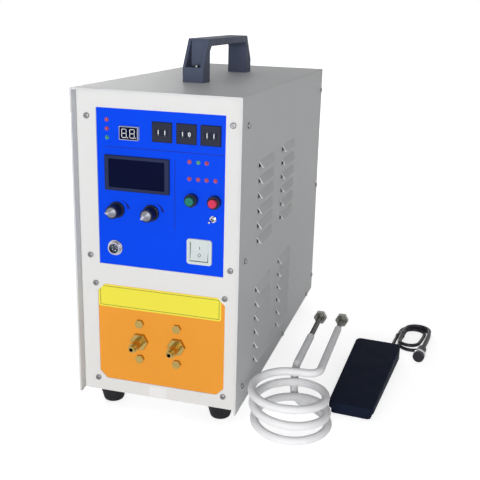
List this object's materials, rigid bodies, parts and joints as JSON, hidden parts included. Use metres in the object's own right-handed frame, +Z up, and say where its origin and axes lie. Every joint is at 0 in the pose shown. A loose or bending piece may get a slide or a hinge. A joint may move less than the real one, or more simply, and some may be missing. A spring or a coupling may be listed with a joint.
{
  "type": "induction heating machine",
  "caption": "Upright sheet-metal induction heater with a blue control plate, water-cooled outlets, a sleeved work coil and a wedge foot pedal on a bundled cord",
  "frame": {"origin": "on the ground, under the middle of the set measured without the pedal cord, its bundle and its plug", "axes": "+X to the right of the machine as seen from its front, +Y to its back, +Z up"},
  "size_m": [0.4568, 0.5444, 0.489],
  "materials": {
    "cover_grey": "fine textured light grey paint",
    "panel_white": "smooth off-white paint",
    "zinc_steel": "bright zinc plate",
    "black_plastic": "fine grained black",
    "gloss_black": "glossy blue-black moulding",
    "black_rubber": "matt black",
    "blue_plate": "smooth blue enamel",
    "orange_board": "orange insulating board",
    "red_lens": "red lens",
    "green_lens": "green lens",
    "white_plastic": "white moulding",
    "grey_frame": "grey moulding",
    "meter_glass": "almost black window",
    "satin_aluminium": "satin",
    "red_plastic": "red button",
    "green_plastic": "green button",
    "bright_metal": "bright plate",
    "dull_steel": "dull nickel plate",
    "pedal_plastic": "smooth dark blue-black",
    "brass": "turned brass",
    "copper": "bare copper",
    "dark_copper": "darkened copper",
    "white_sleeve": "woven white sleeve",
    "cord_black": "matt black jacket",
    "core_steel": "dark core laminations",
    "board_green": "green circuit board",
    "hose_clear": "grey water hose",
    "capacitor_yellow": "yellow film capacitors"
  },
  "bodies": {
    "machine": {"base_tray": "zinc_steel", "button_rings": "gloss_black", "cable_gland": "black_plastic", "capacitor_bank": "capacitor_yellow", "carry_handle": "black_plastic", "case_screws": "zinc_steel", "centre_plate": "zinc_steel", "coil_pipe": "dark_copper", "coil_sleeve": "white_sleeve", "control_board": "board_green", "control_plate": "blue_plate", "display_case": "white_plastic", "fan_frame": "black_plastic", "front_panel": "panel_white", "green_lamps": "green_lens", "meter_frame": "grey_frame", "meter_glass": "meter_glass", "outlet_board": "orange_board", "outlet_bolts": "brass", "outlet_fittings": "brass", "output_blocks": "copper", "pedal_base": "pedal_plastic", "pedal_cord": "cord_black", "pedal_cord_coil": "cord_black", "pedal_plug": "cord_black", "pedal_relief": "black_rubber", "pedal_switch": "black_plastic", "potentiometers": "zinc_steel", "power_modules": "satin_aluminium", "rear_panel": "panel_white", "red_lamps": "red_lens", "rocker_frame": "white_plastic", "rubber_feet": "black_rubber", "socket_insert": "black_plastic", "socket_shell": "bright_metal", "toggle_body": "bright_metal", "transformer_core": "core_steel", "transformer_winding": "dark_copper", "water_hoses": "hose_clear", "water_tails": "brass", "wheel_cases": "gloss_black", "wrap_cover": "cover_grey"},
    "power_knob": {"power_knob": "gloss_black", "power_knob_cap": "satin_aluminium"},
    "timer_knob": {"timer_knob": "gloss_black", "timer_knob_cap": "satin_aluminium"},
    "start_button": {"start_button": "green_plastic"},
    "stop_button": {"stop_button": "red_plastic"},
    "toggle_lever": {"toggle_lever": "bright_metal"},
    "rocker_paddle": {"rocker_paddle": "white_plastic"},
    "coil_nut_left": {"coil_nut_left": "dull_steel"},
    "coil_nut_right": {"coil_nut_right": "dull_steel"},
    "pedal_treadle": {"pedal_treadle": "pedal_plastic"},
    "fan_rotor": {"fan_rotor": "black_plastic"},
    "digit_wheel_1": {"digit_wheel_1": "gloss_black"},
    "digit_wheel_2": {"digit_wheel_2": "gloss_black"},
    "digit_wheel_3": {"digit_wheel_3": "gloss_black"},
    "digit_wheel_4": {"digit_wheel_4": "gloss_black"},
    "digit_wheel_5": {"digit_wheel_5": "gloss_black"},
    "digit_wheel_6": {"digit_wheel_6": "gloss_black"}
  },
  "joints": [
    {"name": "digit_wheel_1_turn", "type": "hinge", "parent": "machine", "child": "digit_wheel_1", "pos_m": [-0.08994, -0.23465, 0.38271], "axis": [1, 0, 0], "continuous": true},
    {"name": "digit_wheel_2_turn", "type": "hinge", "parent": "machine", "child": "digit_wheel_2", "pos_m": [-0.08134, -0.23465, 0.38271], "axis": [1, 0, 0], "continuous": true},
    {"name": "digit_wheel_3_turn", "type": "hinge", "parent": "machine", "child": "digit_wheel_3", "pos_m": [-0.05854, -0.23465, 0.38271], "axis": [1, 0, 0], "continuous": true},
    {"name": "digit_wheel_4_turn", "type": "hinge", "parent": "machine", "child": "digit_wheel_4", "pos_m": [-0.04994, -0.23465, 0.38271], "axis": [1, 0, 0], "continuous": true},
    {"name": "digit_wheel_5_turn", "type": "hinge", "parent": "machine", "child": "digit_wheel_5", "pos_m": [-0.02755, -0.23465, 0.38271], "axis": [1, 0, 0], "continuous": true},
    {"name": "digit_wheel_6_turn", "type": "hinge", "parent": "machine", "child": "digit_wheel_6", "pos_m": [-0.01895, -0.23465, 0.38271], "axis": [1, 0, 0], "continuous": true},
    {"name": "power_knob_turn", "type": "hinge", "parent": "machine", "child": "power_knob", "pos_m": [-0.14713, -0.25075, 0.28002], "axis": [0, 1, 0], "range_deg": [-50, 250]},
    {"name": "timer_knob_turn", "type": "hinge", "parent": "machine", "child": "timer_knob", "pos_m": [-0.10053, -0.25075, 0.28002], "axis": [0, 1, 0], "range_deg": [-25, 275]},
    {"name": "start_button_push", "type": "slide", "parent": "machine", "child": "start_button", "axis": [0, 1, 0], "range_m": [0, 0.003], "stiffness_N_per_m": 500, "springref_m": -0.001},
    {"name": "stop_button_push", "type": "slide", "parent": "machine", "child": "stop_button", "axis": [0, 1, 0], "range_m": [0, 0.003], "stiffness_N_per_m": 500, "springref_m": -0.001},
    {"name": "toggle_flip", "type": "hinge", "parent": "machine", "child": "toggle_lever", "pos_m": [-0.01874, -0.24565, 0.28002], "axis": [-0.7071, 0, 0.7071], "range_deg": [0, 26]},
    {"name": "rocker_swing", "type": "hinge", "parent": "machine", "child": "rocker_paddle", "pos_m": [-0.03633, -0.23925, 0.23579], "axis": [1, 0, 0], "range_deg": [0, 14]},
    {"name": "coil_nut_left_turn", "type": "hinge", "parent": "machine", "child": "coil_nut_left", "pos_m": [0.07476, 0.03125, 0.05369], "axis": [0, 1, 0], "continuous": true},
    {"name": "coil_nut_right_turn", "type": "hinge", "parent": "machine", "child": "coil_nut_right", "pos_m": [0.10977, 0.03125, 0.05369], "axis": [0, 1, 0], "continuous": true},
    {"name": "pedal_press", "type": "hinge", "parent": "machine", "child": "pedal_treadle", "pos_m": [0.17036, 0.01632, 0.015], "axis": [0.9972, -0.075, 0], "range_deg": [0, 1.6], "stiffness_Nm_per_rad": 12, "springref_deg": -171.89},
    {"name": "fan_spin", "type": "hinge", "parent": "machine", "child": "fan_rotor", "pos_m": [-0.09023, 0.22625, 0.31401], "axis": [0, 1, 0], "continuous": true}
  ]
}
